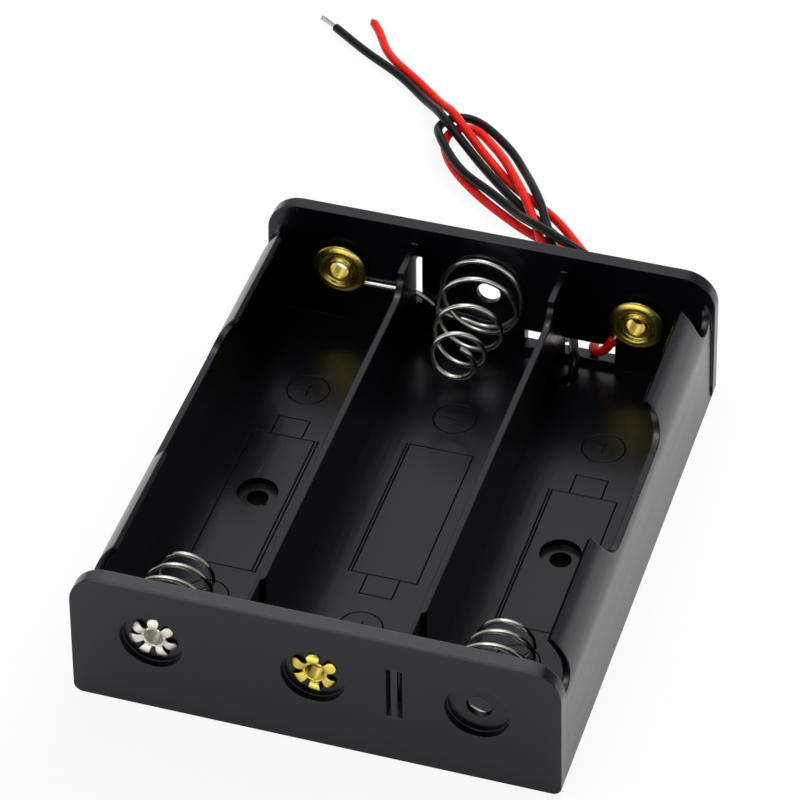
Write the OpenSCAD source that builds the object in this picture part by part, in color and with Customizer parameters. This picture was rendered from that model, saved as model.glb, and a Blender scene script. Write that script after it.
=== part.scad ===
// Open tray for three round cells side by side, with riveted end contacts,
// conical springs and two wire leads. The tray stands on z = 0, X runs across
// the bays, Y along the cells and the leads leave through the rear wall (+Y).

/* [Cells and bays] */
// Diameter of the cells that the bays hold
cell_d = 18.4; // [18:0.1:19]
// Radial play between a cell and its bay
cell_gap = 0.1; // [0.05:0.05:0.3]
// Distance between the contact axes of neighbouring bays
bay_pitch = 20.2; // [19.8:0.1:22]
// Height of the contact axes above the table
contact_h = 10.9; // [10.4:0.1:11.4]

/* [Case] */
// Length over the two end walls
case_len = 76; // [72:1:84]
// Height of the end walls
case_h = 19.5; // [19.2:0.1:22]
// Thickness of the end walls
end_wall_t = 1.8; // [1.5:0.1:2.4]
// Thickness of the side walls beside the cells
side_wall_t = 0.9; // [0.8:0.1:1.3]
// Thickness of the floor
floor_t = 2; // [1.9:0.1:2.6]
// How far each side wall spreads outward at its foot
side_lean = 0.35; // [0.1:0.05:0.6]
// How far the end walls stand out past the side walls
end_lip = 0.25; // [0.1:0.05:0.8]
// How much each flank of an end wall leans in over its height
end_draft = 0.4; // [0.1:0.1:0.8]
// Radius of the upper corners of the end walls
end_corner_r = 4.5; // [2:0.5:6]
// Radius of the lower corners of the end walls
end_foot_r = 1.2; // [0.4:0.2:2]

/* [Side walls] */
// Outer radius of the curled-in upper part of the side walls
side_round_r = 9.6; // [9:0.2:10.4]
// Angle at which the curled side flaps end, from level
flap_angle = 46; // [38:1:52]
// Height of the low middle stretch of the side walls
dip_h = 14.2; // [13:0.2:15.4]
// Length of the level bottom of the dip
dip_len = 17.8; // [12:0.2:24]
// Height at which the round ends of the dip reach their full width
dip_top_h = 18.35; // [17.6:0.05:19]
// Width of the notch between each flap and its end wall
notch_w = 5.2; // [4:0.2:6]
// Height of the bottom of the notch
notch_h = 13.3; // [12:0.1:15]

/* [Dividers] */
// Thickness of the dividers between the bays
divider_t = 0.9; // [0.7:0.1:1.4]
// Height of the long low stretch of the dividers
divider_h = 13.75; // [12:0.25:15]
// Height of the raised rear end of the dividers
divider_rear_h = 16.8; // [16:0.1:18]
// Length of the raised rear end at its top
divider_rear_len = 6.2; // [4:0.2:12]
// Thickness of the thinned front end of the dividers
divider_thin_t = 0.4; // [0.3:0.05:0.6]
// Length of the thinned front end
divider_thin_len = 9.6; // [6:0.2:14]

/* [Holes and slots] */
// Diameter of the contact holes through the end walls
contact_hole_d = 3.2; // [3:0.1:3.4]
// Diameter of the round recess outside each contact hole
counterbore_d = 8; // [7:0.2:9]
// Depth of that recess
counterbore_depth = 1; // [0.7:0.1:1.1]
// Width of the upright slots that let the link wires pass the dividers
link_slot_w = 2; // [1.8:0.1:2.6]
// Height of the lower end of the upright slots
link_slot_low = 7.1; // [6:0.1:7.6]
// Height of the upper end of the upright slots
link_slot_high = 14.8; // [12:0.1:16]
// Distance of the wire outlet's near end from the middle of the case
outlet_from = 5; // [3:0.2:7]
// Distance of the wire outlet's far end from the middle of the case
outlet_to = 17.3; // [16.6:0.1:20]
// Height of the sill of the wire outlet
outlet_sill = 3.05; // [2.7:0.05:3.1]
// Height of the opening of the wire outlet
outlet_h = 2.8; // [2.2:0.1:4]
// Distance between the two screw holes in the floor
screw_pitch = 40; // [36:1:44]
// Diameter of the screw holes
screw_d = 2.8; // [2.4:0.1:3.4]
// Diameter of the recess round each screw hole
screw_recess_d = 5.4; // [4.6:0.2:7]
// Depth of that recess
screw_recess_depth = 1; // [0.5:0.1:1.2]
// Width of the lead channel in the underside
channel_w = 1.6; // [1.5:0.1:2.2]
// Depth of the lead channel
channel_depth = 1.45; // [1.4:0.05:1.6]

/* [Contacts] */
// Diameter of the button flange
button_d = 7.4; // [6.4:0.2:9]
// Outer diameter of the button shank
shank_d = 3; // [2.8:0.1:3.1]
// Diameter of the hole through the shank
shank_hole_d = 2.4; // [2:0.1:2.6]
// Sheet thickness of the buttons and the rivet
sheet_t = 0.25; // [0.2:0.05:0.3]
// Thickness of the rolled rim and of the rolled lip of a button
button_roll = 0.4; // [0.3:0.05:0.6]
// Diameter over the curled petals of a button
petal_d = 6.1; // [5:0.1:6.8]
// Number of petals of a brass button
button_petals = 6; // [5:1:8]
// Number of petals of the steel rivet
rivet_petals = 7; // [5:1:8]

/* [Springs and wires] */
// Diameter of the spring wire
wire_d = 0.7; // [0.5:0.05:0.75]
// Mean diameter of the coil that lies on the wall
spring_base_d = 10.8; // [9:0.2:12]
// Mean diameter of the front springs' coil that meets the cell
spring_front_tip_d = 6.4; // [4:0.1:8]
// Mean diameter of the rear spring's coil that meets the cell
spring_rear_tip_d = 5.7; // [4:0.1:8]
// Free length of the front springs
spring_front_len = 11.8; // [8:0.2:14]
// Free length of the rear spring
spring_rear_len = 14.6; // [8:0.2:18]
// Turns of each spring
spring_turns = 4.5; // [3.5:0.5:5.5]
// How far the tip of a spring hangs below its axis
spring_sag = 0.5; // [0:0.1:1]
// Diameter of the insulated leads
lead_d = 1.25; // [1.15:0.05:1.25]
// Diameter of the bare strands at the lead ends
strand_d = 0.7; // [0.5:0.05:0.7]

/* [Hidden] */
$fn = 96;

seat_gap = 0.02;
cradle_r = cell_d / 2 + cell_gap;
cradle_x = bay_pitch / 2 + divider_t / 2 + cradle_r;
cradle_z = floor_t + cradle_r + 0.2;
side_x = cradle_x + cradle_r + side_wall_t;
foot_x = side_x + side_lean;
round_x = side_x - side_round_r;
case_w = 2 * (foot_x + end_lip);
wall_y = case_len / 2 - end_wall_t;
dip_r = dip_top_h - dip_h;
notch_r = notch_w / 2;
step_r = divider_rear_h - divider_h;
step_y = wall_y - divider_rear_len - step_r;
divider_x = bay_pitch / 2;
link_x = divider_x;
link_notch = wire_d + 3 * seat_gap;

// Heights over the wall of the wire layers pinched under a head, and of the head
layer_one = seat_gap + wire_d / 2;
layer_two = 2 * seat_gap + wire_d + strand_d / 2;
lift_one = wire_d + 2 * seat_gap;
lift_two = wire_d + strand_d + 3 * seat_gap;
loop_r = shank_d / 2 + wire_d / 2 + 0.06;
strand_r = shank_d / 2 + strand_d / 2 + 0.06;
base_r = spring_base_d / 2;

// Corner circle of an end wall's outline, r its radius and z its height
function flank_a() = atan(end_draft / case_h);
function corner_x(r, z) = case_w / 2 - z * tan(flank_a()) - r / cos(flank_a());
function on_flank(r, z) = [corner_x(r, z) + r * cos(flank_a()), z + r * sin(flank_a())];

module mirrored() {
    children();
    mirror([1, 0, 0]) children();
}

module half_end_outline() {
    up_z = case_h - end_corner_r;
    up_x = corner_x(end_corner_r, up_z);
    low_x = corner_x(end_foot_r, end_foot_r);
    polygon([[0, 0], [low_x, 0], [low_x, end_foot_r], on_flank(end_foot_r, end_foot_r),
             on_flank(end_corner_r, up_z), [up_x, up_z], [up_x, case_h], [0, case_h]]);
    translate([up_x, up_z]) circle(r = end_corner_r);
    translate([low_x, end_foot_r]) circle(r = end_foot_r);
}

// Stands a drawing made in X and Z upright, from y = from to y = to
module along_y(from, to) {
    translate([0, to, 0]) rotate([90, 0, 0]) linear_extrude(height = to - from) children();
}

// Stands a drawing made in Y and Z upright, from x = from to x = to
module along_x(from, to) {
    translate([from, 0, 0]) rotate([90, 0, 90]) linear_extrude(height = to - from) children();
}

module end_wall() {
    along_y(wall_y, case_len / 2) mirrored() half_end_outline();
}

module side_section() {
    inner_foot = cradle_x + cradle_r + side_lean * (1 - floor_t / cradle_z);
    polygon([[0, 0], [foot_x, 0], [side_x, cradle_z], [cradle_x + cradle_r, cradle_z],
             [inner_foot, floor_t], [0, floor_t]]);
    intersection() {
        difference() {
            translate([round_x, cradle_z]) circle(r = side_round_r);
            translate([cradle_x, cradle_z]) circle(r = cradle_r);
        }
        polygon([[round_x, cradle_z], [side_x + 1, cradle_z],
                 [side_x + 1, cradle_z + side_round_r * 1.2],
                 [round_x + side_round_r * 1.2 / tan(flap_angle), cradle_z + side_round_r * 1.2]]);
    }
}

// What is cut from the top edge of the side walls, drawn in Y and Z
module rim_cuts() {
    for (s = [-1, 1]) {
        translate([s * dip_len / 2, dip_top_h]) circle(r = dip_r);
        translate([s * (wall_y - notch_r), notch_h + notch_r]) circle(r = notch_r);
        translate([s * (wall_y - notch_r) - notch_r, notch_h + notch_r]) square([notch_w, 12]);
    }
    translate([-dip_len / 2, dip_h]) square([dip_len, 12]);
    translate([-dip_len / 2 - dip_r, dip_top_h]) square([dip_len + 2 * dip_r, 12]);
}

module side_walls() {
    difference() {
        along_y(-wall_y - end_wall_t / 2, wall_y + end_wall_t / 2) mirrored() side_section();
        along_x(-case_w, case_w) rim_cuts();
    }
}

module divider() {
    full_from = -wall_y + divider_thin_len + divider_t / 2;
    along_x(-divider_t / 2, -divider_t / 2 + divider_thin_t)
        translate([-wall_y - 0.2, floor_t - 0.5])
            square([divider_thin_len + 1.2, divider_h - floor_t + 0.5]);
    translate([0, full_from, floor_t - 0.5]) cylinder(d = divider_t, h = divider_h - floor_t + 0.5);
    along_x(-divider_t / 2, divider_t / 2) difference() {
        union() {
            translate([full_from, floor_t - 0.5])
                square([wall_y - full_from, divider_h - floor_t + 0.5]);
            translate([step_y, floor_t]) square([wall_y - step_y, divider_rear_h - floor_t]);
        }
        translate([step_y, divider_rear_h]) circle(r = step_r);
    }
}

// One contact place of an end wall, at the origin, outside face toward +Y
module contact_cut() {
    rotate([90, 0, 0]) cylinder(d = contact_hole_d, h = 3 * end_wall_t, center = true);
    translate([0, end_wall_t / 2 - counterbore_depth, 0])
        rotate([-90, 0, 0]) cylinder(d = counterbore_d, h = 3);
}

module tray_cuts() {
    for (i = [-1, 0, 1]) {
        translate([i * bay_pitch, wall_y + end_wall_t / 2, contact_h]) contact_cut();
        translate([i * bay_pitch, -wall_y - end_wall_t / 2, contact_h])
            mirror([0, 1, 0]) contact_cut();
    }
    for (s = [-1, 1])
        translate([-s * link_x - link_slot_w / 2, s * (wall_y + end_wall_t) - end_wall_t
                   - link_notch, link_slot_low])
            cube([link_slot_w, 2 * (end_wall_t + link_notch), link_slot_high - link_slot_low]);
    translate([outlet_from, wall_y, outlet_sill])
        cube([outlet_to - outlet_from, end_wall_t + 1, outlet_h]);
    for (s = [-1, 1]) translate([s * screw_pitch / 2, 0, -1]) {
        cylinder(d = screw_d, h = floor_t + 2);
        translate([0, 0, 1 + floor_t - screw_recess_depth]) cylinder(d = screw_recess_d, h = 2);
    }
    channel_cut();
}

// Lead channel under the floor, from the front left contact to the wire outlet
chan_a = [-bay_pitch + strand_r, -wall_y + layer_two];
chan_b = [12.4, 33.4];
chan_len = norm(chan_b - chan_a);
chan_turn = atan2(chan_b[1] - chan_a[1], chan_b[0] - chan_a[0]);
eye_len = 2.2;
module channel_cut() {
    translate([chan_a[0], chan_a[1], 0]) rotate([0, 0, chan_turn]) {
        translate([0, -channel_w / 2, -1]) cube([chan_len, channel_w, 1 + channel_depth]);
        for (x = [0, chan_len]) translate([x, 0, -1]) cylinder(d = channel_w, h = floor_t + 2);
        translate([0, -channel_w / 2, -1]) cube([eye_len, channel_w, floor_t + 2]);
        translate([chan_len - eye_len, -channel_w / 2, -1])
            cube([eye_len, channel_w, floor_t + 2]);
    }
}

module tray() {
    color([0.08, 0.08, 0.09]) difference() {
        union() {
            end_wall();
            mirror([0, 1, 0]) end_wall();
            side_walls();
            for (s = [-1, 1]) translate([s * divider_x, 0, 0]) divider();
        }
        tray_cuts();
    }
}

// Half section of a pressed button, r along X and the height over the wall along Y
module button_section(lift) {
    r1 = shank_d / 2;
    r2 = button_d / 2;
    bead = button_roll / 2;
    web = end_wall_t - counterbore_depth;
    translate([shank_hole_d / 2, -web]) square([r1 - shank_hole_d / 2, web + lift + bead]);
    translate([r1 - 0.05, lift]) square([r2 - bead - r1, sheet_t]);
    translate([r2 - bead, lift + bead]) circle(r = bead);
    translate([shank_hole_d / 2 + bead, lift + bead]) circle(r = bead);
}

module petal_outline(count) {
    w = 1.9 * 6 / count;
    for (i = [0 : count - 1]) rotate(i * 360 / count + 90) {
        translate([0, -w / 2]) square([petal_d / 2 - w / 2.4, w]);
        translate([petal_d / 2 - w / 2, 0]) circle(d = w, $fn = 32);
    }
    circle(d = shank_d + 0.7);
}

// Eyelet on a contact axis, head toward +Z, wall from z = 0 down to z = -web
module eyelet(count, lift) {
    web = end_wall_t - counterbore_depth;
    rotate_extrude() button_section(lift);
    difference() {
        translate([0, 0, -web - sheet_t]) linear_extrude(height = sheet_t) petal_outline(count);
        translate([0, 0, -web - 2]) cylinder(d = shank_hole_d, h = 4);
    }
}

module on_rear(i) {
    translate([i * bay_pitch, wall_y, contact_h]) rotate([90, 0, 0]) children();
}
module on_front(i) {
    translate([i * bay_pitch, -wall_y, contact_h]) rotate([-90, 0, 0]) children();
}

module contact_rear_left() {
    color([0.85, 0.68, 0.3]) on_rear(-1) eyelet(button_petals, lift_one);
}
module contact_rear_right() {
    color([0.85, 0.68, 0.3]) on_rear(1) eyelet(button_petals, lift_one);
}
module contact_front_middle() {
    color([0.85, 0.68, 0.3]) on_front(0) eyelet(button_petals, lift_one);
}
module rivet_front_left() {
    color([0.75, 0.75, 0.76]) on_front(-1) eyelet(rivet_petals, lift_two);
}

// Tube of n sides and diameter d along the points p, its rings square to the path
function tangent(p, i) =
    let (a = p[max(i - 1, 0)], b = p[min(i + 1, len(p) - 1)]) (b - a) / norm(b - a);
function square_to(v, t) = let (w = v - (v * t) * t) w / norm(w);
function frames(p, i, v, acc) =
    i == len(p) ? acc
    : let (t = tangent(p, i), u = square_to(v, t))
      frames(p, i + 1, u, concat(acc, [[u, cross(t, u)]]));
module tube(p, d, n) {
    f = frames(p, 0, [0.31, 0.17, 0.93], []);
    pts = [for (i = [0 : len(p) - 1]) for (k = [0 : n - 1])
        p[i] + d / 2 * (cos(360 * k / n) * f[i][0] + sin(360 * k / n) * f[i][1])];
    skin = [for (i = [0 : len(p) - 2]) for (k = [0 : n - 1]) for (h = [0, 1])
        let (a = i * n + k, b = i * n + (k + 1) % n)
        h == 0 ? [a, b + n, b] : [a, a + n, b + n]];
    polyhedron(points = pts, faces = concat([[for (k = [0 : n - 1]) k]], skin,
        [[for (k = [0 : n - 1]) (len(p) - 1) * n + n - 1 - k]]), convexity = 10);
}

// Points given on a contact axis, [across, up, off the wall], brought into the case
function at_rear(i, q) = [i * bay_pitch + q[0], wall_y - q[2], contact_h + q[1]];
function at_front(i, q) = [i * bay_pitch + q[0], -wall_y + q[2], contact_h + q[1]];

// A conical spring: a flat coil on the wall, open turns, a closed coil at the tip
function spring_rise(t, len) =
    let (open = spring_turns - 1.55, u = min(1, max(0, (t - 0.8) / open)))
    layer_one + (len - wire_d - seat_gap) * (0.93 * u + (t > spring_turns - 0.75
        ? 0.07 * (t - spring_turns + 0.75) / 0.75 : 0));
function eased(x) = x * x * (3 - 2 * x);
function spring_points(len, tip_d, from, dir, shift) =
    [for (i = [0 : 16 * spring_turns]) let (t = i / 16, a = from + dir * 360 * t,
        u = eased(max(0, (t - 0.8) / (spring_turns - 0.8))),
        r = (spring_base_d + (tip_d - spring_base_d) * u) / 2,
        z = spring_rise(t, len))
        [shift + r * cos(a), r * sin(a) - spring_sag * pow(z / len, 2), z]];

// A loop of wire round a shank
function shank_loop(z, d, from, sweep, count) =
    [for (i = [0 : count]) let (a = from + sweep * i / count,
        r = shank_d / 2 + d / 2 + 0.06) [r * cos(a), r * sin(a), z]];

module spring_front_left() {
    z = layer_one;
    p = concat(shank_loop(z, wire_d, 430, -250, 12),
        [[-loop_r, 2, z], [-1.5, 3.9, z], [-0.4, base_r - 0.35, z]],
        spring_points(spring_front_len, spring_front_tip_d, 78, -1, 0));
    color([0.7, 0.7, 0.72]) tube([for (q = p) at_front(-1, q)], wire_d, 8);
}

// The right front spring runs on as the link wire to the middle front button
module spring_front_right() {
    z = layer_one;
    c = bay_pitch;
    link = [for (q = concat(shank_loop(z, wire_d, 370, -280, 12),
        [[2.6, 2, z], [link_x - 2.4, 2.4, z], [link_x, 2.4, z], [link_x + 2.4, 2.6, z],
         [c - 4.6, 4, z], [c - 3.2, 4.8, z]])) at_front(0, q)];
    coil = [for (q = spring_points(spring_front_len, spring_front_tip_d, 112, -1, 0)) at_front(1, q)];
    color([0.7, 0.7, 0.72]) tube(concat(link, coil), wire_d, 8);
}

// The rear spring runs on as the link wire to the left rear button
spring_shift = -0.7;
module spring_rear_middle() {
    z = layer_one;
    link = [for (q = concat(shank_loop(z, wire_d, -10, 280, 12),
        [[2.6, -loop_r, z], [bay_pitch - link_x - 2.2, -1.8, z],
         [bay_pitch - link_x, -1.8, z]])) at_rear(-1, q)];
    coil = [for (q = concat([[2.1 - link_x, -2.9, z], [3.7 - link_x, -4.2, z],
        [5.2 - link_x, -4.8, z]],
        spring_points(spring_rear_len, spring_rear_tip_d, 248, 1, spring_shift))) at_rear(0, q)];
    color([0.7, 0.7, 0.72]) tube(concat(link, coil), wire_d, 8);
}

// The red lead comes off the right rear button and leaves through the outlet
red_in = [[-3.1, -3.35, 0.7], [-3.5, -4.2, 0.72], [-4.2, -5.3, 0.7], [-5.1, -6.1, 0.3],
          [-5.8, -6.5, -0.3], [-6.1, -6.7, -1.05], [-6.15, -6.8, -1.4], [-6.15, -6.8, -1.8]];
module red_lead_run() {
    color([0.8, 0.05, 0.05]) tube([for (q = red_in) at_rear(1, q)], lead_d, 8);
}
module red_strand_inner() {
    z = layer_one + (strand_d - wire_d) / 2;
    p = concat([red_in[0], 1.4 * red_in[0] - 0.4 * red_in[1], [-2.65, -2.6, z], [-2.2, -1.3, z]],
        shank_loop(z, strand_d, 180, -250, 12));
    color([0.72, 0.72, 0.74]) tube([for (q = p) at_rear(1, q)], strand_d, 8);
}

// The black lead rises beside the left front rivet, lies in the channel under the
// floor and comes up again beside the wire outlet
lead_low = lead_d / 2 + 0.01;
along = [cos(chan_turn), sin(chan_turn)];
function in_channel(from, s, z) = [from[0] + s * along[0], from[1] + s * along[1], z];
black_top = 4.8;
black_run = concat(
    [[chan_a[0], chan_a[1], black_top], [chan_a[0], chan_a[1], 3.4],
     in_channel(chan_a, 0, lead_low + 1.4), in_channel(chan_a, 0.41, lead_low + 0.41),
     in_channel(chan_a, 1.4, lead_low), in_channel(chan_a, chan_len * 0.25, lead_low),
     in_channel(chan_a, chan_len * 0.5, lead_low), in_channel(chan_a, chan_len * 0.75, lead_low),
     in_channel(chan_b, -1.4, lead_low), in_channel(chan_b, -0.41, lead_low + 0.41),
     in_channel(chan_b, 0, lead_low + 1.3)],
    [[chan_b[0], 33.5, 2.9], [chan_b[0] - 0.1, 34.4, 3.55], [chan_b[0] - 0.35, 35.4, 3.75],
     [11.6, 36.8, 3.75], [11.2, 38, 3.75]]);
module black_lead_run() {
    color([0.05, 0.05, 0.05]) tube(black_run, lead_d, 8);
}
module black_strand_inner() {
    low = black_top - contact_h;
    p = concat([[strand_r, low, layer_two], [strand_r, (low - 0.5) / 2, layer_two]],
        shank_loop(layer_two, strand_d, 0, 250, 12));
    color([0.72, 0.72, 0.74]) tube([for (q = p) at_front(-1, q)], strand_d, 8);
}

// Free stretches of the leads on the table, from the outlet to their bare ends
red_path = [
    [14.05, 38, 4.1], [14.05, 39, 4.1], [14.4, 40.4, 3.6], [15.5, 41.8, 2.7],
    [17.2, 42.9, 1.9], [19.1, 44.4, 1.1], [20.5, 46.5, 0.64], [21.1, 49.2, 0.64],
    [20.8, 52.2, 0.7], [19.4, 54.7, 1.3], [17.2, 56.3, 2], [14.4, 57, 2.1],
    [11.5, 57.1, 2.1], [8.6, 57.4, 2.15], [5.7, 58.2, 1.85], [3.2, 59.5, 0.95],
    [0.9, 61, 0.64], [-2.3, 62.5, 0.64], [-5.2, 64.3, 0.64], [-8.2, 66.3, 0.64],
    [-11.3, 68.7, 0.64], [-14.1, 71.2, 0.64], [-16.4, 73.8, 0.64], [-18, 76.4, 0.64],
    [-18.9, 78.9, 0.64], [-18.9, 80.3, 0.64], [-18.5, 81.6, 0.64], [-17.5, 82.6, 0.64],
    [-16.2, 82.9, 0.64], [-14.8, 82.4, 0.64], [-13, 80.7, 0.64], [-10.6, 77.9, 1.1],
    [-8.4, 74.7, 1.7], [-6.3, 71.6, 1.9], [-4.5, 68.8, 2.1], [-3, 66.2, 2.1],
    [-1.3, 63.3, 2.1], [0.2, 60.4, 2.1], [1.7, 57.4, 1.6], [3.1, 54.2, 0.9],
    [5, 51.1, 0.64], [7.6, 49.2, 0.64], [10.9, 48.4, 0.64], [14, 49.4, 0.64],
    [15.8, 52.1, 0.64], [15.3, 54.8, 0.64], [13, 56.6, 0.64], [10.3, 57.7, 0.64],
    [7.9, 59, 0.64], [6.1, 60.7, 0.64], [4.4, 62.6, 0.64], [2.4, 64.8, 0.64],
    [-0.6, 67.4, 0.64], [-6.6, 71.5, 0.64], [-10.3, 75.1, 0.64], [-13.3, 78.2, 0.8],
    [-15.5, 80, 1.6], [-17.4, 81.8, 2.1], [-19.2, 83.9, 2.1], [-21.4, 86.4, 1.1],
    [-24.2, 89.2, 0.64], [-28.2, 92.6, 0.64], [-33.4, 97.5, 0.64], [-35.2, 100.8, 0.64],
    [-37, 103.2, 0.64]];
black_path = [
    [11.2, 38, 3.75], [10.98, 38.66, 3.75], [10.7, 39.4, 3.5], [10.2, 40.2, 2.7],
    [9.5, 40.9, 1.7], [8.6, 41.5, 0.9], [7.6, 42.3, 0.64], [6.7, 43.5, 0.64],
    [6.7, 45.2, 0.64], [8, 46.5, 0.64], [9.9, 46.9, 0.64], [12.4, 46.7, 0.64],
    [14.9, 46.6, 0.64], [17.1, 47.6, 0.64], [18.5, 49.5, 0.7], [18.8, 51.7, 1.1],
    [17.6, 53.9, 1.9], [15.4, 55, 2.3], [12.8, 55.5, 2.5], [10.2, 55.9, 2.8],
    [7.6, 56.8, 3.2], [5, 58, 3.5], [2.3, 59.4, 3.5], [-0.5, 60.9, 3.4], [-2.6, 62.6, 2.7],
    [-5.1, 65, 2], [-9.3, 68.1, 1.95], [-12.8, 70.3, 1.95], [-15.5, 72.8, 1.95],
    [-17.4, 75.2, 2], [-18.9, 77.3, 2], [-20.1, 79.6, 1.6], [-20.6, 81.6, 0.8],
    [-20.3, 83.3, 0.64], [-19.1, 84.6, 0.64], [-17.3, 85, 0.64], [-15.3, 84.4, 0.64],
    [-13.2, 83, 0.64], [-10.9, 81, 0.64], [-8.7, 78.8, 0.64], [-6.6, 76, 0.7],
    [-4.5, 72.6, 1.3], [-2.7, 69.4, 1.9], [-1.1, 66.5, 2.1], [0.4, 63.3, 2.1],
    [1.9, 60.2, 2.1], [3.3, 57.2, 1.7], [4.8, 54.4, 1.1], [6.8, 51.9, 0.7],
    [9.5, 50.7, 0.64], [11.6, 51.1, 0.64], [13.1, 52.7, 0.64], [12.7, 54.6, 0.64],
    [10.6, 55.8, 0.64], [8.6, 56.8, 0.64], [6.6, 58.1, 0.64], [5, 59.8, 0.64],
    [3.5, 61.4, 0.64], [1.4, 63.1, 0.64], [-4, 67.2, 0.64], [-8.2, 70.9, 0.64],
    [-12.5, 75.2, 0.64], [-16.2, 78.6, 1.4], [-19.4, 81.4, 2.2], [-21.4, 83.9, 1.8],
    [-24, 86.8, 0.9], [-28.3, 90.9, 0.64], [-32.6, 93.9, 0.64], [-35.2, 95.5, 0.64],
    [-38, 97.5, 0.64], [-42, 100.5, 0.64]];
module red_lead() {
    color([0.8, 0.05, 0.05]) tube(red_path, lead_d, 8);
}
module red_strand_tip() {
    color([0.72, 0.45, 0.3]) tube([[-37, 103.2, 0.64], [-37.36, 103.68, 0.64]], strand_d, 8);
}
module black_lead() {
    color([0.05, 0.05, 0.05]) tube(black_path, lead_d, 8);
}
module black_strand_tip() {
    color([0.72, 0.72, 0.74])
        tube([[-42, 100.5, 0.64], [-43.2, 101.4, 0.64], [-44.7, 102.3, 0.64]], strand_d, 8);
}

tray();
contact_rear_left();
contact_rear_right();
contact_front_middle();
rivet_front_left();
spring_front_left();
spring_front_right();
spring_rear_middle();
red_lead_run();
red_strand_inner();
black_lead_run();
black_strand_inner();
red_lead();
red_strand_tip();
black_lead();
black_strand_tip();
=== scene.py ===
# %% [markdown]
# # An open tray for three round cells
# The real object is a black moulded tray with a floor, two end walls, two curled side walls and
# two thin dividers. Brass buttons and wire springs touch the cells, and a red and a black lead
# come out behind. The tray, as a frame of exact solids, is loaded first, and every other piece
# is worked out in millimetres in that same frame and scaled to metres when its mesh is made.

import bmesh
import bpy
import numpy as np
from mathutils import Matrix


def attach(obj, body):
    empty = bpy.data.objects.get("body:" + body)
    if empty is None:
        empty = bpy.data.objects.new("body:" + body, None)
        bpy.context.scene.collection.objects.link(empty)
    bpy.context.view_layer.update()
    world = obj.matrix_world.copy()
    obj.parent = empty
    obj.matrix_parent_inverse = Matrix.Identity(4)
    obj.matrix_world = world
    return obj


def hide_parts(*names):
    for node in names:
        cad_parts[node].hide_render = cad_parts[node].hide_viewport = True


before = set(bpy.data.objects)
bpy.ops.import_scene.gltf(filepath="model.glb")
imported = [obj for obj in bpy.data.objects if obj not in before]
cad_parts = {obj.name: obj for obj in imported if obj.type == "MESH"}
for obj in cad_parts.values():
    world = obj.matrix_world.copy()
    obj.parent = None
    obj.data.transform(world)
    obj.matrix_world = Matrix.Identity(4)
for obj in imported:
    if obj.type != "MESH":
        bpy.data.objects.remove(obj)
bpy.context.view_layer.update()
MM = 0.001
print("nodes:", ", ".join(sorted(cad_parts)))

# %% [markdown]
# ## Camera
# A tray like this is best seen from above and a little from the right, with a long lens, so that
# its sides stay nearly parallel. The camera's place is written as two angles, a small roll, two
# shifts across the view and a distance. Its three axes come from cross products, and they fill
# the columns of its matrix.

# %% The camera
def camera_axes(azimuth, elevation, roll):
    """right, up and back of a camera turned towards the frame, from three angles in degrees.

    back = (sin a cos e, -cos a cos e, sin e), right = z x back, up = back x right, and the roll
    turns right and up about back."""
    a, e, r = np.radians([azimuth, elevation, roll])
    back = np.array([np.sin(a) * np.cos(e), -np.cos(a) * np.cos(e), np.sin(e)])
    right = np.cross([0, 0, 1], back)
    right /= np.linalg.norm(right)
    up = np.cross(back, right)
    return (np.cos(r) * right + np.sin(r) * up, np.cos(r) * up - np.sin(r) * right, back)


def matrix_from(axes, place):
    """The 4 x 4 matrix whose first columns are three axes and whose last is a place in metres."""
    rows = [[*row, p] for row, p in zip(np.array(axes).T, place)]
    return Matrix(rows + [[0, 0, 0, 1]])


AZIMUTH, ELEVATION, ROLL = 17.571, 41.045, -0.567
TO_RIGHT, TO_TOP, DISTANCE = -0.986, 16.974, 509.065
right, up, back = camera_axes(AZIMUTH, ELEVATION, ROLL)
place = (TO_RIGHT * right + TO_TOP * up + DISTANCE * back) * MM
eye = bpy.data.cameras.new("camera")
eye.sensor_width = 36
eye.lens = 181.254
eye.clip_start = 0.01
camera = bpy.data.objects.new("camera", eye)
bpy.context.scene.collection.objects.link(camera)
camera.matrix_world = matrix_from([right, up, back], place)
bpy.context.scene.camera = camera
print("camera at", np.round(place / MM, 1), "mm, lens", eye.lens)

# %% [markdown]
# ## Surfaces from arrays
# Nearly every piece here is a grid of points: a round section carried along a line, or a profile
# turned about an axis. One helper joins the rows of such a grid with quads, and another puts
# points and quads into a mesh with foreach_set, which is much faster than adding them singly.

# %% Grids and meshes
def grid_quads(rows, cols, closed_rows=False, closed_cols=True):
    """The quads of a grid whose point (i, j) has the number i * cols + j."""
    i = np.arange(rows if closed_rows else rows - 1)[:, None]
    j = np.arange(cols if closed_cols else cols - 1)[None, :]
    i2, j2 = (i + 1) % rows, (j + 1) % cols
    quads = np.stack([i * cols + j, i * cols + j2, i2 * cols + j2, i2 * cols + j], axis=-1)
    return quads.reshape(-1, 4)


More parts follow.
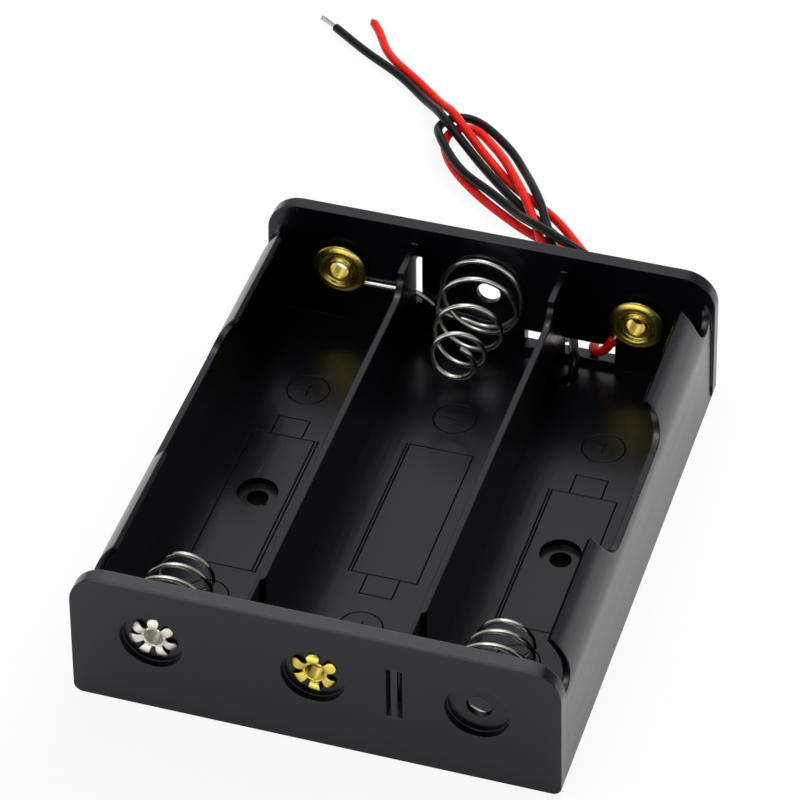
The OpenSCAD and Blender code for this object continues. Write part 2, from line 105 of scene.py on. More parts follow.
def make_piece(name, parts):
    """One object from a list of (points in mm, faces) pairs, riding on the root body.

    Faces are rows of 4 corners, or of 3 where a fan closes an end."""
    points = np.concatenate([p for p, _ in parts]) * MM
    starts = np.cumsum([0] + [len(p) for p, _ in parts[:-1]])
    faces = [f + s for (_, fs), s in zip(parts, starts) for f in fs]
    sizes = np.concatenate([np.full(len(f), f.shape[1]) for f in faces])
    corners = np.concatenate([f.ravel() for f in faces]).astype(np.int32)
    mesh = bpy.data.meshes.new(name)
    mesh.vertices.add(len(points))
    mesh.vertices.foreach_set("co", points.astype(np.float32).ravel())
    mesh.loops.add(len(corners))
    mesh.loops.foreach_set("vertex_index", corners)
    mesh.polygons.add(len(sizes))
    mesh.polygons.foreach_set("loop_start", (np.cumsum(sizes) - sizes).astype(np.int32))
    mesh.polygons.foreach_set("use_smooth", np.ones(len(sizes), bool))
    mesh.update(calc_edges=True)
    mesh.validate()
    piece = bpy.data.objects.new(name, mesh)
    bpy.context.scene.collection.objects.link(piece)
    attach(piece, "root")
    print(f"{name}: {len(points)} points, {len(sizes)} faces")
    return piece


# %% [markdown]
# ## Wires and leads
# A lead or a spring is a round section carried along a line. The line is given by a few points
# and made smooth by a cubic spline, whose bends are as gentle as those of a real wire. Each ring
# of the tube stands square to the line.

# %% A smooth line through points
def smooth_line(points, step):
    """A cubic spline through points, at even steps of about step mm.

    With h the chord lengths, the second derivatives m solve
    h[i-1] m[i-1] + 2 (h[i-1] + h[i]) m[i] + h[i] m[i+1] = 6 (slope[i] - slope[i-1])."""
    p = np.asarray(points, float)
    h = np.linalg.norm(np.diff(p, axis=0), axis=1)
    knots = np.concatenate([[0], np.cumsum(h)])
    slope = np.diff(p, axis=0) / h[:, None]
    n = len(p)
    band = np.eye(n)
    inner = np.arange(1, n - 1)
    band[inner, inner - 1] = h[:-1]
    band[inner, inner] = 2 * (h[:-1] + h[1:])
    band[inner, inner + 1] = h[1:]
    right_side = np.zeros_like(p)
    right_side[1:-1] = 6 * np.diff(slope, axis=0)
    m = np.linalg.solve(band, right_side)
    s = np.linspace(0, knots[-1], max(3, int(knots[-1] / step) + 1))
    k = np.clip(np.searchsorted(knots, s, side="right") - 1, 0, n - 2)
    a, b = (knots[k + 1] - s)[:, None], (s - knots[k])[:, None]
    hk = h[k][:, None]
    bent = (m[k] * a**3 + m[k + 1] * b**3) / (6 * hk)
    return bent + (p[k] / hk - m[k] * hk / 6) * a + (p[k + 1] / hk - m[k + 1] * hk / 6) * b


# %% A tube along a line
def line_frames(line, reference):
    """Tangent t, side n = reference x t and b = t x n at each point, all of length one."""
    t = np.gradient(line, axis=0)
    t /= np.linalg.norm(t, axis=1)[:, None]
    n = np.cross(reference, t)
    n /= np.linalg.norm(n, axis=1)[:, None]
    return t, n, np.cross(t, n)


END_AWAY = np.array([0, 0.1, 0.4, 1])
END_GROWTH = np.array([0, 0.7, 0.95, 1])


def with_ends(head, middle, tail):
    """The rows of an array with its first and last two replaced by those of the end rings."""
    return np.concatenate([head, middle[2:-2], tail])


def tube(line, radius, sides=20, reference=(0, 0, 1), rounding=0.3):
    """Points and faces of a tube: line + r (cos f n + sin f b), its ends slightly rounded.

    With e = rounding radius, the rings of an end lie e END_AWAY along the line, their radius is
    radius - e (1 - END_GROWTH), and a fan closes the first of them."""
    line = np.asarray(line, float)
    t, n, b = line_frames(line, np.asarray(reference, float))
    rings = len(END_AWAY)
    e = rounding * radius
    grown = radius - e * (1 - END_GROWTH)
    r = with_ends(grown, np.full(len(line), float(radius)), grown[::-1])
    line = with_ends(line[0] + t[0] * (END_AWAY * e)[:, None], line,
                     line[-1] - t[-1] * (END_AWAY[::-1] * e)[:, None])
    n = with_ends(np.repeat(n[:1], rings, 0), n, np.repeat(n[-1:], rings, 0))
    b = with_ends(np.repeat(b[:1], rings, 0), b, np.repeat(b[-1:], rings, 0))
    f = np.arange(sides) * 2 * np.pi / sides
    ring = np.cos(f)[None, :, None] * n[:, None] + np.sin(f)[None, :, None] * b[:, None]
    skin = (line[:, None] + r[:, None, None] * ring).reshape(-1, 3)
    points = np.concatenate([skin, line[:1], line[-1:]])
    j = np.arange(sides)
    last = (len(line) - 1) * sides
    first_cap = np.stack([np.full(sides, len(skin)), (j + 1) % sides, j], axis=1)
    last_cap = np.stack([np.full(sides, len(skin) + 1), last + j, last + (j + 1) % sides], axis=1)
    return points, [grid_quads(len(line), sides), first_cap, last_cap]


# %% [markdown]
# ## The two leads
# Soft insulated wire, 1.25 mm thick and 20 cm long, leaves the outlet level, sinks to the table
# and is folded into flat loops that pass over and under each other. The points, in millimetres,
# lie along the solids of the frame; only two turns of the black lead are a little wider here, so
# that soft wire could follow them. Every crossing has room for one lead to lie on the other.

# %% The leads' routes
RED_ROUTE = [
    (14.05, 38, 4.1), (14.05, 39, 4.1), (14.4, 40.4, 3.6), (15.5, 41.8, 2.7), (17.2, 42.9, 1.9),
    (19.1, 44.4, 1.1), (20.5, 46.5, 0.64), (21.1, 49.2, 0.64), (20.8, 52.2, 0.7),
    (19.4, 54.7, 1.3), (17.2, 56.3, 2), (14.4, 57, 2.1), (11.5, 57.1, 2.1), (8.6, 57.4, 2.15),
    (5.7, 58.2, 1.85), (3.2, 59.5, 0.95), (0.9, 61, 0.64), (-2.3, 62.5, 0.64),
    (-5.2, 64.3, 0.64), (-8.2, 66.3, 0.64), (-11.3, 68.7, 0.64), (-14.1, 71.2, 0.64),
    (-16.4, 73.8, 0.64), (-18, 76.4, 0.64), (-18.9, 78.9, 0.64), (-18.9, 80.3, 0.64),
    (-18.5, 81.6, 0.64), (-17.5, 82.6, 0.64), (-16.2, 82.9, 0.64), (-14.8, 82.4, 0.64),
    (-13, 80.7, 0.64), (-10.6, 77.9, 1.1), (-8.4, 74.7, 1.7), (-6.3, 71.6, 1.9),
    (-4.5, 68.8, 2.1), (-3, 66.2, 2.1), (-1.3, 63.3, 2.1), (0.2, 60.4, 2.1), (1.7, 57.4, 1.6),
    (3.1, 54.2, 0.9), (5, 51.1, 0.64), (7.6, 49.2, 0.64), (10.9, 48.4, 0.64), (14, 49.4, 0.64),
    (15.8, 52.1, 0.64), (15.3, 54.8, 0.64), (13, 56.6, 0.64), (10.3, 57.7, 0.64),
    (7.9, 59, 0.64), (6.1, 60.7, 0.64), (4.4, 62.6, 0.64), (2.4, 64.8, 0.64),
    (-0.6, 67.4, 0.64), (-6.6, 71.5, 0.64), (-10.3, 75.1, 0.64), (-13.3, 78.2, 0.8),
    (-15.5, 80, 1.6), (-17.4, 81.8, 2.1), (-19.2, 83.9, 2.1), (-21.4, 86.4, 1.1),
    (-24.2, 89.2, 0.64), (-28.2, 92.6, 0.64), (-33.4, 97.5, 0.64), (-35.2, 100.8, 0.64),
    (-37, 103.2, 0.64),
]
BLACK_ROUTE = [
    (11.2, 38, 3.75), (10.98, 38.66, 3.75), (10.7, 39.4, 3.5), (10.2, 40.2, 2.7),
    (9.5, 40.9, 1.7), (8.6, 41.5, 0.9), (7.5, 42.3, 0.64), (6.5, 43.5, 0.64), (6.5, 45.2, 0.64),
    (7.8, 46.7, 0.64), (9.9, 47.1, 0.64), (12.4, 46.7, 0.64), (14.9, 46.6, 0.64),
    (17.1, 47.6, 0.64), (18.5, 49.5, 0.7), (18.8, 51.7, 1.1), (17.6, 53.9, 1.9),
    (15.4, 55, 2.3), (12.8, 55.5, 2.5), (10.2, 55.9, 2.8), (7.6, 56.8, 3.2), (5, 58, 3.5),
    (2.3, 59.4, 3.5), (-0.5, 60.9, 3.4), (-2.6, 62.6, 2.7), (-5.1, 65, 2), (-9.3, 68.1, 1.95),
    (-12.8, 70.3, 1.95), (-15.5, 72.8, 1.95), (-17.4, 75.2, 2), (-18.9, 77.3, 2),
    (-20.1, 79.6, 1.6), (-20.6, 81.6, 0.8), (-20.3, 83.3, 0.64), (-19.1, 84.6, 0.64),
    (-17.3, 85, 0.64), (-15.3, 84.4, 0.64), (-13.2, 83, 0.64), (-10.9, 81, 0.64),
    (-8.7, 78.8, 0.64), (-6.6, 76, 0.7), (-4.5, 72.6, 1.3), (-2.7, 69.4, 1.9),
    (-1.1, 66.5, 2.1), (0.4, 63.3, 2.1), (1.9, 60.2, 2.1), (3.3, 57.2, 1.7), (4.8, 54.4, 1.1),
    (6.8, 51.9, 0.7), (9.4, 50.7, 0.64), (11.8, 51, 0.64), (13.3, 52.8, 0.64),
    (13, 54.9, 0.64), (11, 56, 0.64), (8.7, 56.8, 0.64), (6.6, 58.1, 0.64),
    (5, 59.8, 0.64), (3.5, 61.4, 0.64), (1.4, 63.1, 0.64), (-4, 67.2, 0.64), (-8.2, 70.9, 0.64),
    (-12.5, 75.2, 0.64), (-16.2, 78.6, 1.4), (-19.4, 81.4, 2.2), (-21.4, 83.9, 1.8),
    (-24, 86.8, 0.9), (-28.3, 90.9, 0.64), (-32.6, 93.9, 0.64), (-35.2, 95.5, 0.64),
    (-38, 97.5, 0.64), (-42, 100.5, 0.64),
]

LEAD_D, LEAD_STEP = 1.25, 0.35


def settled(line, step, reach=1.3):
    """A line as soft wire settles: each point becomes the mean of its neighbours, weighted by
    exp(-d^2 / (2 reach^2)). Height is smoothed over half that reach, so crossings keep their room,
    and near each end the reach is 0.4 of the distance left, so the ends stay in place."""
    place = np.arange(len(line)) * step
    room = np.minimum(place, place[-1] - place)
    smooth = np.empty_like(line)
    for axis, width in ((0, reach), (1, reach), (2, reach / 2)):
        local = np.clip(0.4 * room, 1e-3, width)[:, None]
        weight = np.exp(-(((place[:, None] - place) / local) ** 2) / 2)
        smooth[:, axis] = weight @ line[:, axis] / weight.sum(axis=1)
    return smooth


def line_length(line):
    """Sum of the distances between neighbouring points."""
    return float(np.linalg.norm(np.diff(line, axis=0), axis=1).sum())


# %% [markdown]
# ## Bare strands
# Each lead ends in its bare strands, seven thin wires twisted together. Six of them wind about
# the seventh: each is a tube along a helix, offset from the middle line by one strand's width,
# and their ends spread a little where the cutter pressed them.

# %% Twisted strands
STRAND_R, STRAND_STEP = 0.115, 0.08


def strand_bundle(line, lay=2.6, spread=0.25):
    """Seven tubes about a line: centre + c (cos f n + sin f b), with f = 2 pi (k / 6 + s / lay).

    c is two strand radii, and grows by the share spread towards the end."""
    _, n, b = line_frames(line, np.array([0.0, 0.0, 1.0]))
    s = np.concatenate([[0], np.cumsum(np.linalg.norm(np.diff(line, axis=0), axis=1))])
    c = 2 * STRAND_R * (1 + spread * (s / s[-1]) ** 2)
    parts = [tube(line, STRAND_R, sides=8, rounding=0.4)]
    for k in range(6):
        f = 2 * np.pi * (k / 6 + s / lay)
        helix = line + c[:, None] * (np.cos(f)[:, None] * n + np.sin(f)[:, None] * b)
        parts.append(tube(helix, STRAND_R, sides=8, rounding=0.4))
    return parts


def free_lead(name, route, tip):
    """One lead outside the tray, nowhere below the table, with its bare strands on its end."""
    line = settled(smooth_line(route, LEAD_STEP), LEAD_STEP)
    line[:, 2] = np.maximum(line[:, 2], LEAD_D / 2)
    lead = make_piece("loose_" + name, [tube(line, LEAD_D / 2, sides=24)])
    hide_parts(name)
    bundle = strand_bundle(smooth_line(tip, STRAND_STEP))
    strands = make_piece("loose_" + name.replace("lead", "strands"), bundle)
    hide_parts(name.replace("lead", "strand_tip"))
    (line * MM).tolist()
    print(f"{name}: {line_length(line):.1f} mm long")
    return lead, strands


RED_TIP = [(-36.9, 103.05, 0.64), (-37.15, 103.4, 0.64), (-37.36, 103.68, 0.64)]
BLACK_TIP = [(-41.8, 100.35, 0.64), (-42.6, 100.95, 0.64), (-43.2, 101.4, 0.62),
             (-44.7, 102.3, 0.6)]
red_lead, red_tip = free_lead("red_lead", RED_ROUTE, RED_TIP)
black_lead, black_tip = free_lead(
    "black_lead", BLACK_ROUTE, BLACK_TIP)

# %% [markdown]
# ## Springs
# Each spring is one length of plated wire: a flat coil that lies on the end wall, open turns that
# shrink towards the cell, and a nearly closed coil at the tip. Two of them run on as a bare link
# wire along the wall to the next button and end in a loop round its shank. The line is made of
# the same stretches as the real bending: loop, link, coil.

# %% Lines of wire on an end wall
WALL_Y, AXIS_Z, PITCH = 36.2, 10.9, 20.2
WIRE_D, WIRE_STEP, SEAT = 0.7, 0.22, 0.02
LAYER = SEAT + WIRE_D / 2
SHANK_D, LOOP_PLAY = 3.0, 0.06


def at_rear(bay, q):
    """Points [across, up, off the wall] at the rear wall's contact of a bay, in the frame."""
    q = np.asarray(q, float)
    return np.stack([bay * PITCH + q[:, 0], WALL_Y - q[:, 2], AXIS_Z + q[:, 1]], axis=1)


def at_front(bay, q):
    """The same on the front wall."""
    return at_rear(bay, q) * [1, -1, 1]


def spring_coil(length, tip_d, start, turn, shift=0.0, base_d=10.8, turns=4.5, sag=0.5):
    """A conical coil: [s + r cos a, r sin a - sag (z / length)^2, z], with a = start + turn 360 t.

    The radius eases from base to tip as x x (3 - 2 x). z stays on the wall for the seated share
    of a turn, then makes the steady share of its climb evenly, and creeps through the rest of it
    in the closed share of a turn at the tip."""
    seated, closed, steady = 0.8, 0.75, 0.93
    t = np.arange(int(16 * turns) + 1) / 16
    a = np.radians(start + turn * 360 * t)
    x = np.clip((t - seated) / (turns - seated), 0, None)
    r = (base_d + (tip_d - base_d) * x * x * (3 - 2 * x)) / 2
    climb = (steady * np.clip((t - seated) / (turns - seated - closed), 0, 1)
             + (1 - steady) * np.clip((t - turns + closed) / closed, 0, None))
    z = LAYER + (length - WIRE_D - SEAT) * climb
    return np.stack([shift + r * np.cos(a), r * np.sin(a) - sag * (z / length) ** 2, z], axis=1)


def shank_loop(z, start, sweep, count=12):
    """Points of an arc of wire round a button's shank: radius = (shank + wire) / 2 + play."""
    a = np.radians(start + sweep * np.arange(count + 1) / count)
    r = (SHANK_D + WIRE_D) / 2 + LOOP_PLAY
    return np.stack([r * np.cos(a), r * np.sin(a), np.full(len(a), z)], axis=1)


# %% The three springs
SLOT_X, BASE_R, LOOP_R = 10.1, 5.4, 1.91
front_left = at_front(-1, np.concatenate([
    shank_loop(LAYER, 430, -250),
    [[-LOOP_R, 2, LAYER], [-1.5, 3.9, LAYER], [-0.4, BASE_R - 0.35, LAYER]],
    spring_coil(11.8, 6.4, 78, -1)]))
front_right = np.concatenate([
    at_front(0, np.concatenate([
        shank_loop(LAYER, 370, -280),
        [[2.6, 2, LAYER], [SLOT_X - 2.4, 2.4, LAYER], [SLOT_X, 2.4, LAYER],
         [SLOT_X + 2.4, 2.6, LAYER], [PITCH - 4.6, 4, LAYER], [PITCH - 3.2, 4.8, LAYER]]])),
    at_front(1, spring_coil(11.8, 6.4, 112, -1))])
rear_middle = np.concatenate([
    at_rear(-1, np.concatenate([
        shank_loop(LAYER, -10, 280),
        [[2.6, -LOOP_R, LAYER], [PITCH - SLOT_X - 2.2, -1.8, LAYER],
         [PITCH - SLOT_X, -1.8, LAYER]]])),
    at_rear(0, np.concatenate([
        [[2.1 - SLOT_X, -2.9, LAYER], [3.7 - SLOT_X, -4.2, LAYER], [5.2 - SLOT_X, -4.8, LAYER]],
        spring_coil(14.6, 5.7, 248, 1, shift=-0.7)]))])
springs = []
for name, points in (("spring_front_left", front_left), ("spring_front_right", front_right),
                     ("spring_rear_middle", rear_middle)):
    wire = smooth_line(points, WIRE_STEP)
    drawn = tube(wire, WIRE_D / 2, sides=16, reference=(0.05, 1, 0.03), rounding=0.2)
    spring = make_piece("wire_" + name, [drawn])
    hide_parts(name)
    springs.append(spring)
    print(f"{name}: {line_length(wire):.0f} mm of wire")

# %% [markdown]
# ## Buttons and rivet
# A button is an eyelet of thin sheet: its flange has a broad rolled rim, a valley and a raised
# lip round the hole, and outside the wall its shank is split and curled into petals. The flange
# and shank are one profile turned about the contact axis. Each petal is a strip whose width and
# lift are functions of the way along it, given a thickness by moving it along its normals.

# %% Turn a profile about an axis
def turned(profile, sides=96):
    """Points (r cos f, r sin f, h) for every profile point (r, h); the profile is a closed loop."""
    f = np.arange(sides) * 2 * np.pi / sides
    r, h = np.asarray(profile, float).T
    ring = np.stack([r[:, None] * np.cos(f), r[:, None] * np.sin(f), h[:, None] + 0 * f], axis=-1)
    return ring.reshape(-1, 3), [grid_quads(len(r), sides, closed_rows=True)]


def closed_shell(grid, thickness):
    """A sheet of grid points given a thickness: p and p - n thickness, with n its unit normals.

    A strip of quads joins the two along the rim."""
    du, dv = np.gradient(grid, axis=(0, 1))
    n = np.cross(du, dv)
    n /= np.linalg.norm(n, axis=2)[..., None]
    rows, cols = grid.shape[:2]
    other = grid - n * thickness
    count = rows * cols
    face = grid_quads(rows, cols, closed_cols=False)
    i, j = np.arange(rows), np.arange(cols)
    rim = np.concatenate([j, i[1:] * cols + cols - 1,
                          (rows - 1) * cols + j[::-1][1:], i[::-1][1:-1] * cols])
    after = np.roll(rim, -1)
    side = np.stack([after, rim, rim + count, after + count], axis=1)
    points = np.concatenate([grid.reshape(-1, 3), other.reshape(-1, 3)])
    return points, [face[:, ::-1], face + count, side[:, ::-1]]


# %% Profiles of flange and petals
WEB, PETAL_SHEET, PROFILE_STEP = 0.8, 0.2, 0.07


def flange_profile(lift, petal_root):
    """(r, h) round the section: up the hole, over lip, valley and rim, and back underneath."""
    lip = [(1.2, -WEB - 0.1), (1.2, 0.1), (1.215, 0.3), (1.29, 0.43), (1.43, 0.48),
           (1.58, 0.42), (1.68, 0.28)]
    valley = [(1.78, 0.14), (1.92, 0.08), (2.08, 0.09), (2.22, 0.18)]
    rim = [(2.38, 0.34), (2.54, 0.47), (2.72, 0.53), (2.92, 0.52), (3.14, 0.45),
           (3.36, 0.35), (3.56, 0.23), (3.71, 0.08)]
    top = [lip[0]] + [(r, lift + h) for r, h in lip[1:] + valley + rim]
    line = smooth_line([(r, 0, h) for r, h in top], PROFILE_STEP)[:, [0, 2]]
    under = [(3.68, lift + 0.03), (3.6, lift), (2.6, lift), (1.6, lift), (1.5, lift - 0.06),
             (1.5, -WEB + 0.02), (petal_root, -WEB - 0.02), (1.45, -WEB - 0.16),
             (1.3, -WEB - 0.18)]
    return np.concatenate([line, under])


def petal(angle, width, length, tilt, curl):
    """One curled petal: a strip with u from -1 to 1 across it and v from 0 to 1 along it.

    Half its width is width / 2 (0.62 + 0.5 v), and a round tip closes it. At v it is 1.25 +
    length v from the axis and at h = -web - 0.14 - curl sin(pi v) (1 - 0.2 v), so its tip comes
    back to the wall. Across it, a hollow 0.1 u^2 v and a slope tilt (u half) v are added."""
    v = np.linspace(0, 1, 15)[:, None]
    u = np.linspace(-1, 1, 9)[None, :]
    tip = np.sqrt(np.clip(1 - np.clip((v - 0.66) / 0.36, 0, 1) ** 2, 0.06, 1))
    half = width / 2 * (0.62 + 0.5 * v) * tip
    bow = curl * np.sin(np.pi * np.clip(v * 1.02, 0, 1)) * (1 - 0.2 * v)
    x, y = 1.25 + length * v + 0 * u, u * half
    h = -WEB - 0.14 - bow + 0.1 * u**2 * v + tilt * u * half * v
    c, s = np.cos(np.radians(angle)), np.sin(np.radians(angle))
    sheet = np.stack([c * x - s * y, s * x + c * y, h], axis=-1)
    return closed_shell(sheet, -PETAL_SHEET)


def on_wall(parts, bay, side):
    """Moves parts from their own axis to the contact of a bay, side 1 the rear wall, -1 the front.

    (x, y, h) becomes (bay pitch + side x, side (wall - h), axis height + y), which is a turn and
    mirrors nothing."""
    moved = []
    for points, faces in parts:
        x, y, h = points.T
        there = np.stack([bay * PITCH + side * x, side * (WALL_Y - h), AXIS_Z + y], axis=1)
        moved.append((there, faces))
    return moved


# %% Make the four eyelets
PETAL_ROOT, PETALS_WIDE = 1.75, 10.2


def eyelet(name, bay, side, lift, petals, seed):
    """Flange and petals of one contact; the petals share a width of PETALS_WIDE between them.

    Their places, lengths, tilts and curls differ a little, as pressed ones do."""
    vary = np.random.default_rng(seed)
    parts = [turned(flange_profile(lift, PETAL_ROOT))]
    for k in range(petals):
        angle = 90 + 360 * (k + vary.uniform(-0.06, 0.06)) / petals
        length = vary.uniform(1.65, 1.95)
        tilt = vary.uniform(-0.25, 0.25)
        curl = vary.uniform(0.36, 0.6)
        parts.append(petal(angle, PETALS_WIDE / petals, length, tilt, curl))
    piece = make_piece("eyelet_" + name, on_wall(parts, bay, side))
    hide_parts(name)
    return piece


LIFT_ONE = WIRE_D + 2 * SEAT
LIFT_TWO = 2 * WIRE_D + 3 * SEAT
eyelets = [eyelet("contact_rear_left", -1, 1, LIFT_ONE, 6, 1),
           eyelet("contact_rear_right", 1, 1, LIFT_ONE, 6, 2),
           eyelet("contact_front_middle", 0, -1, LIFT_ONE, 6, 3)]
rivet = eyelet("rivet_front_left", -1, -1, LIFT_TWO, 7, 4)

# %% [markdown]
# ## The held stretches of the leads
# Inside the tray each lead is pinched under its button by bare strands, and runs from there to
# the outlet: the red one in the open, the black one in a channel under the floor. Their solids
# are coarse tubes, so smooth tubes of the same route stand in for them.

# %% Inner leads
HELD_STEP, PINCHED_R = 0.25, 0.33
SECOND_LAYER = LAYER + WIRE_D + SEAT
red_in = at_rear(1, [(-3.1, -3.35, 0.7), (-3.5, -4.2, 0.72), (-4.2, -5.3, 0.7), (-5.1, -6.1, 0.3),
                     (-5.8, -6.5, -0.3), (-6.1, -6.7, -1.05), (-6.15, -6.8, -1.4),
                     (-6.15, -6.8, -1.8)])
red_pinch = at_rear(1, np.concatenate([
    [(-3.1, -3.35, 0.7), (-2.94, -3.01, 0.69), (-2.65, -2.6, LAYER), (-2.2, -1.3, LAYER)],
    shank_loop(LAYER, 180, -250)]))
CHANNEL_A, CHANNEL_B = np.array([-18.29, -35.09]), np.array([12.4, 33.4])
channel = (CHANNEL_B - CHANNEL_A) / np.linalg.norm(CHANNEL_B - CHANNEL_A)


def in_channel(start, stations):
    """Points at (s, z): s mm along the channel's direction from one of its ends, and z mm high."""
    return [[*(start + s * channel), z] for s, z in stations]


black_in = np.array([
    [*CHANNEL_A, 4.8], [*CHANNEL_A, 3.4],
    *in_channel(CHANNEL_A, [(0, 2.04), (0.41, 1.05), (1.4, 0.64), (2.4, 0.64), (5, 0.64),
                            (12, 0.64), (25, 0.64), (40, 0.64)]),
    *in_channel(CHANNEL_B, [(-25, 0.64), (-12, 0.64), (-5, 0.64), (-2.4, 0.64), (-1.4, 0.64),
                            (-0.41, 1.05), (0, 1.94)]),
    [12.4, 33.5, 2.9], [12.3, 34.4, 3.55], [12.05, 35.4, 3.75], [11.6, 36.8, 3.75],
    [11.2, 38, 3.75]])
black_pinch = at_front(-1, np.concatenate([
    [(LOOP_R, -6.1, SECOND_LAYER), (LOOP_R, -3.3, SECOND_LAYER)],
    shank_loop(SECOND_LAYER, 0, 250)]))
ACROSS_CHANNEL = (-channel[1], channel[0], 0.2)
held = {}
for name, line, radius, slot in (("red_lead_run", red_in, LEAD_D / 2, "red_sleeve"),
                                 ("red_strand_inner", red_pinch, PINCHED_R, "tinned_strand"),
                                 ("black_lead_run", black_in, LEAD_D / 2, "black_sleeve"),
                                 ("black_strand_inner", black_pinch, PINCHED_R, "tinned_strand")):
    reference = ACROSS_CHANNEL if name == "black_lead_run" else (0.3, 0.1, 1)
    skin = tube(smooth_line(line, HELD_STEP), radius, reference=reference, rounding=0.05)
    held[name] = make_piece("held_" + name, [skin])
    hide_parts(name)

# %% [markdown]
# ## The tray
# The moulding's shape comes from the frame. Sharp computed edges catch no light, though, while
# every edge of a real moulding is slightly round. So a copy of the solid is merged, its flat faces
# are joined, and a Bevel modifier rounds each edge by about a tenth of a millimetre. The weighted
# normals keep the large faces flat beside the narrow round ones.

# %% A copy of the tray with rounded edges
def rounded_copy(name, node, width):
    """A copy of a node's mesh, merged and with its edges rounded by width mm, in its place."""
    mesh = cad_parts[node].data.copy()
    shape = bmesh.new()
    shape.from_mesh(mesh)
    bmesh.ops.remove_doubles(shape, verts=shape.verts, dist=2e-6)
    bmesh.ops.dissolve_limit(
        shape, angle_limit=np.radians(1.0), verts=shape.verts, edges=shape.edges)
    shape.to_mesh(mesh)
    shape.free()
    mesh.materials.clear()
    piece = bpy.data.objects.new(name, mesh)
    bpy.context.scene.collection.objects.link(piece)
    bevel = piece.modifiers.new("round edges", "BEVEL")
    bevel.width = width * MM
    bevel.segments = 2
    bevel.limit_method = "ANGLE"
    bevel.angle_limit = np.radians(40)
    bevel.use_clamp_overlap = True
    mesh.shade_smooth()
    mesh.set_sharp_from_angle(angle=np.radians(50))
    even = piece.modifiers.new("flat faces stay flat", "WEIGHTED_NORMAL")
    even.weight = 100
    even.keep_sharp = True
    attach(piece, "root")
    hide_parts(node)
    print(f"{name}: {len(mesh.polygons)} faces before the bevel")
    return piece


EDGE_WIDTH = 0.12
tray = rounded_copy("moulded_tray", "tray", EDGE_WIDTH)

# %% [markdown]
# ## Finishes
# Materials are node trees, but they read best as arithmetic. The class below wraps one socket, so
# that an expression such as `1 - grain * 0.2` adds the Math nodes it needs. Any other node comes
# from one method of the material that takes a node's type, its settings and its inputs.

# %% Shader arithmetic
class Socket:
    """An output socket with Python's operators; each adds one Math node to its material."""

    def __init__(self, finish, output):
        self.finish, self.output = finish, output

    def math(self, operation, *values, clamp=False):
        settings = {"operation": operation, "use_clamp": clamp}
        return self.finish.node("ShaderNodeMath", settings, dict(enumerate(values)))

    def __add__(self, other):
        return self.math("ADD", self, other)

    def __sub__(self, other):
        return self.math("SUBTRACT", self, other)

    def __rsub__(self, other):
        return self.math("SUBTRACT", other, self)

    def __mul__(self, other):
        return self.math("MULTIPLY", self, other)

    def __truediv__(self, other):
        return self.math("DIVIDE", self, other)

    def __pow__(self, other):
        return self.math("POWER", self, other)

    def __abs__(self):
        return self.math("ABSOLUTE", self)

    __radd__, __rmul__ = __add__, __mul__

    def largest(self, other):
        return self.math("MAXIMUM", self, other)

    def smallest(self, other):
        return self.math("MINIMUM", self, other)

    def clamped(self):
        return self.math("ADD", self, 0.0, clamp=True)


class Finish:
    """One material: a Principled shader whose constants are set on its own sockets."""

    def __init__(self, name, **constants):
        self.material = bpy.data.materials.new(name)
        self.material.use_nodes = True
        self.tree = self.material.node_tree
        self.shader = self.tree.nodes["Principled BSDF"]
        for socket, value in constants.items():
            self.shader.inputs[socket.replace("_", " ")].default_value = value
        self.count = 0

    def node(self, kind, settings=None, values=None, out=0):
        """Adds a node, sets its settings, then its inputs by number or name, and gives an output.

        Nodes are laid out in columns of nine, so that the tree can be read in the editor."""
        node = self.tree.nodes.new(kind)
        self.count += 1
        node.location = (-240 - 180 * (self.count // 9), 600 - 160 * (self.count % 9))
        for key, value in (settings or {}).items():
            setattr(node, key, value)
        for key, value in (values or {}).items():
            if isinstance(value, Socket):
                self.tree.links.new(value.output, node.inputs[key])
            else:
                node.inputs[key].default_value = value
        return Socket(self, node.outputs[out])

    def feed(self, **links):
        """Links sockets to the shader's inputs, written with _ for each space in their names."""
        for socket, value in links.items():
            self.tree.links.new(value.output, self.shader.inputs[socket.replace("_", " ")])

    def place(self, scale=(1000, 1000, 1000)):
        """Object coordinates through a Mapping node; the scale of 1000 makes them millimetres."""
        coordinate = self.node("ShaderNodeTexCoord", out="Object")
        return self.node("ShaderNodeMapping", {}, {"Vector": coordinate, "Scale": scale})

    def parts(self, vector, count=3):
        """The first x, y and z of a vector, each as a socket of its own."""
        apart = self.node("ShaderNodeSeparateXYZ", {}, {0: vector})
        return [Socket(self, apart.output.node.outputs[k]) for k in range(count)]

    def noise(self, where, scale, detail=2.0, rough=0.5):
        """A noise value about 0.5, its grain 1 / scale of the coordinates' unit."""
        values = {"Vector": where, "Scale": scale, "Detail": detail, "Roughness": rough}
        return self.node("ShaderNodeTexNoise", {}, values)

    def blend(self, factor, low, high):
        """low where factor is 0, high where it is 1; both are colours."""
        values = {0: factor, 6: low, 7: high}
        return self.node("ShaderNodeMix", {"data_type": "RGBA"}, values, out=2)

    def bump(self, height, distance, **more):
        """A normal tilted by a height; distance is the length in metres of a height of 1."""
        values = {"Strength": 1.0, "Distance": distance, "Height": height, **more}
        return self.node("ShaderNodeBump", {}, values)

    def dress(self, *pieces):
        """Gives the pieces this material and no other."""
        for piece in pieces:
            piece.data.materials.clear()
            piece.data.materials.append(self.material)
        print(f"{self.material.name}: {self.count} nodes on {len(pieces)} pieces")


def colour(r, g, b):
    return (r, g, b, 1.0)


def rise(value, start, end):
    """0 before start, 1 after end and a straight rise between them."""
    return ((value - start) / (end - start)).clamped()


